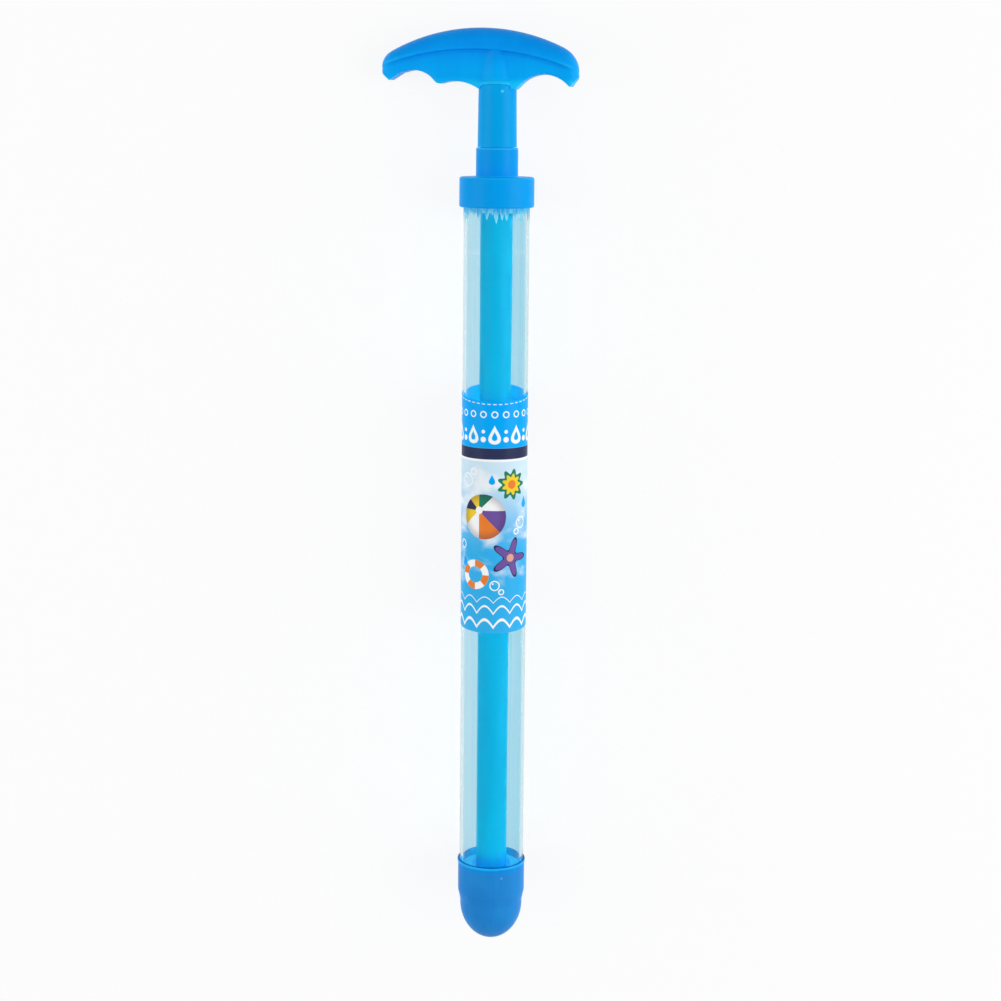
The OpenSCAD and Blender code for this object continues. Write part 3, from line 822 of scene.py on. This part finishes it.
def add_barrel():
    """The clear tube, rounder than its solid, with its cut ends eased."""
    ease = 0.2 * MM
    wall = 1.4 * MM
    low, high = barrel_low.x, barrel_high.x
    inner_r = barrel_r - wall

    def section(angle):
        outside = [(low, barrel_r - ease), (low + ease, barrel_r),
                   (high - ease, barrel_r), (high, barrel_r - ease)]
        inside = [(high, inner_r + ease), (high - ease, inner_r),
                  (low + ease, inner_r), (low, inner_r + ease)]
        return outside + inside

    mesh = wrapped_mesh("barrel_tube", COLUMNS, section)
    tube = add_piece("barrel_tube", mesh, TUBE_FINISH, "barrel")
    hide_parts("barrel")


def add_label():
    """The printed film, rounder than its solid, with both ends cut on the slant."""
    rows = 12

    def section(angle):
        height = label_r * math.cos(angle)
        foot = label_foot - height * FOOT_SLOPE
        top = label_top - height * TOP_SLOPE
        places = [foot + (top - foot) * i / rows for i in range(rows + 1)]
        outside = [(along, label_r) for along in places]
        inside = [(along, label_r - FILM * MM) for along in reversed(places)]
        return outside + inside

    mesh = wrapped_mesh("label_wrap", COLUMNS, section)
    film = add_piece("label_wrap", mesh, label_print("label_film"), "barrel")
    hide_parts("label_sleeve")


def add_glue():
    """Glue pressed out under the collar: a thin film round the barrel that ends in runs of many lengths."""
    draw = random.Random(11)
    teeth = []
    for i in range(GLUE_RUNS):
        middle = 2 * math.pi * (i + draw.uniform(-0.35, 0.35)) / GLUE_RUNS
        half = math.radians(draw.uniform(*RUN_HALF))
        teeth.append((middle, half, draw.uniform(*RUN_REACH) * MM))
    rows = 5
    inner_r = barrel_r + 0.01 * MM
    top = collar_low.x - 0.02 * MM

    def section(angle):
        reach = glue_reach(teeth, angle)
        shares = [1 - k / rows for k in range(rows + 1)]
        outside = [(top - reach * share, inner_r + (0.02 + 0.13 * (1 - share ** 2)) * MM) for share in shares]
        inside = [(top - reach * share, inner_r) for share in reversed(shares)]
        return outside + inside

    mesh = wrapped_mesh("glue_line", GLUE_COLUMNS, section)
    add_piece("glue_line", mesh, glue_frost("glue_frost"), "barrel")


soften_grip()
add_nubs()
add_barrel()
add_label()
add_glue()


# Stage
PURE_WHITE = (1.0, 1.0, 1.0, 1.0)
FLOOR_GREY = (0.9, 0.9, 0.9, 1.0)
# Share of plain white in the floor near the object, and the stretch over which it runs out to all of it, in
# millimetres from the nozzle
FLOOR_WHITE = 0.87
FLOOR_RUN_OUT = (600.0, 1600.0)
SOFT_LIGHT = 0.45
LAMP_AIM = (0.22, 0.0, 0.0)
LAMP_WIDTH = 1.2
CAMERA_PLACE = (0.365, -0.00223, 0.900)
CAMERA_TILT = math.radians(7.0)
CAMERA_ROLL = math.radians(0.505)
CAMERA_SHIFT = -0.1318
# Width of the sensor, in millimetres, and length of the lens as a multiple of it
SENSOR = 36.0
LENS_RATIO = 2.0976


def seen_share(shader):
    """1 for a ray that shows the surroundings, straight, through clear things or in a gloss."""
    path = shader.node("LightPath")
    seen = shader.math("MAXIMUM", path.outputs["Is Camera Ray"], path.outputs["Is Glossy Ray"])
    seen = shader.math("MAXIMUM", seen, path.outputs["Is Transmission Ray"])
    unscattered = shader.math("LESS_THAN", path.outputs["Diffuse Depth"], 0.5)
    return shader.math("MULTIPLY", seen, unscattered)


def floor_finish(name):
    """Pale floor that shows white, keeps a light shadow and has no shade far from the object."""
    shader = Shader(name)
    distance = shader.node("VectorMath", {0: shader.millimetres()}, operation="LENGTH")
    plain = shader.ranged(distance.outputs["Value"], *FLOOR_RUN_OUT, FLOOR_WHITE, 1.0)
    pale = shader.node("BsdfDiffuse", {"Color": FLOOR_GREY})
    white = shader.node("Emission", {"Color": PURE_WHITE, "Strength": 1.0})
    both = shader.node("MixShader", {0: shader.math("MULTIPLY", seen_share(shader), plain)})
    shader.put(both.inputs[1], pale.outputs[0])
    shader.put(both.inputs[2], white.outputs[0])
    return shader.surface(both.outputs[0])


def lay_floor():
    """The table under the collar, wide enough to fill every view."""
    half = 4.0
    corners = [(-half, -half, table_z), (half, -half, table_z), (half, half, table_z), (-half, half, table_z)]
    mesh = bpy.data.meshes.new("floor")
    mesh.from_pydata(corners, [], [(0, 1, 2, 3)])
    floor = bpy.data.objects.new("floor", mesh)
    bpy.context.scene.collection.objects.link(floor)
    mesh.materials.append(floor_finish("floor_pale"))


class Surroundings(Shader):
    """A world under construction."""

    def __init__(self, name):
        self.begin(bpy.data.worlds.new(name), "ShaderNodeOutputWorld")


def light_world():
    """Even white surroundings: soft light on the object, and white where they are seen."""
    shader = Surroundings("studio")
    soft = shader.node("Background", {"Color": PURE_WHITE, "Strength": SOFT_LIGHT})
    white = shader.node("Background", {"Color": PURE_WHITE, "Strength": 1.0})
    both = shader.node("MixShader", {0: seen_share(shader)})
    shader.put(both.inputs[1], soft.outputs[0])
    shader.put(both.inputs[2], white.outputs[0])
    bpy.context.scene.world = shader.surface(both.outputs[0])


def hang_lamp(name, place, watts):
    """A square soft light that faces the object's middle."""
    data = bpy.data.lights.new(name, "AREA")
    data.size = LAMP_WIDTH
    data.energy = watts
    data.cycles.use_multiple_importance_sampling = False
    lamp = bpy.data.objects.new(name, data)
    lamp.location = place
    lamp.rotation_mode = "QUATERNION"
    lamp.rotation_quaternion = (Vector(LAMP_AIM) - Vector(place)).to_track_quat("-Z", "Y")
    bpy.context.scene.collection.objects.link(lamp)


def stand_camera():
    """The camera over the squirter, tipped towards the nozzle, as the photograph was taken."""
    forward = Vector((-math.sin(CAMERA_TILT), 0.0, -math.cos(CAMERA_TILT)))
    up = Vector((math.cos(CAMERA_TILT), 0.0, -math.sin(CAMERA_TILT)))
    right = forward.cross(up)
    turned_right = math.cos(CAMERA_ROLL) * right + math.sin(CAMERA_ROLL) * up
    turned_up = math.cos(CAMERA_ROLL) * up - math.sin(CAMERA_ROLL) * right
    data = bpy.data.cameras.new("camera")
    data.sensor_width = SENSOR
    data.lens = LENS_RATIO * SENSOR
    data.shift_y = CAMERA_SHIFT
    camera = bpy.data.objects.new("camera", data)
    axes = Matrix((turned_right, turned_up, -forward)).transposed()
    camera.matrix_world = Matrix.Translation(CAMERA_PLACE) @ axes.to_4x4()
    bpy.context.scene.collection.objects.link(camera)
    bpy.context.scene.camera = camera


lay_floor()
light_world()
hang_lamp("key_light", (0.22, -1.4, 0.8), 17.3)
hang_lamp("fill_light", (0.22, 1.4, 0.8), 12.5)
stand_camera()
bpy.context.scene.view_settings.view_transform = "Standard"
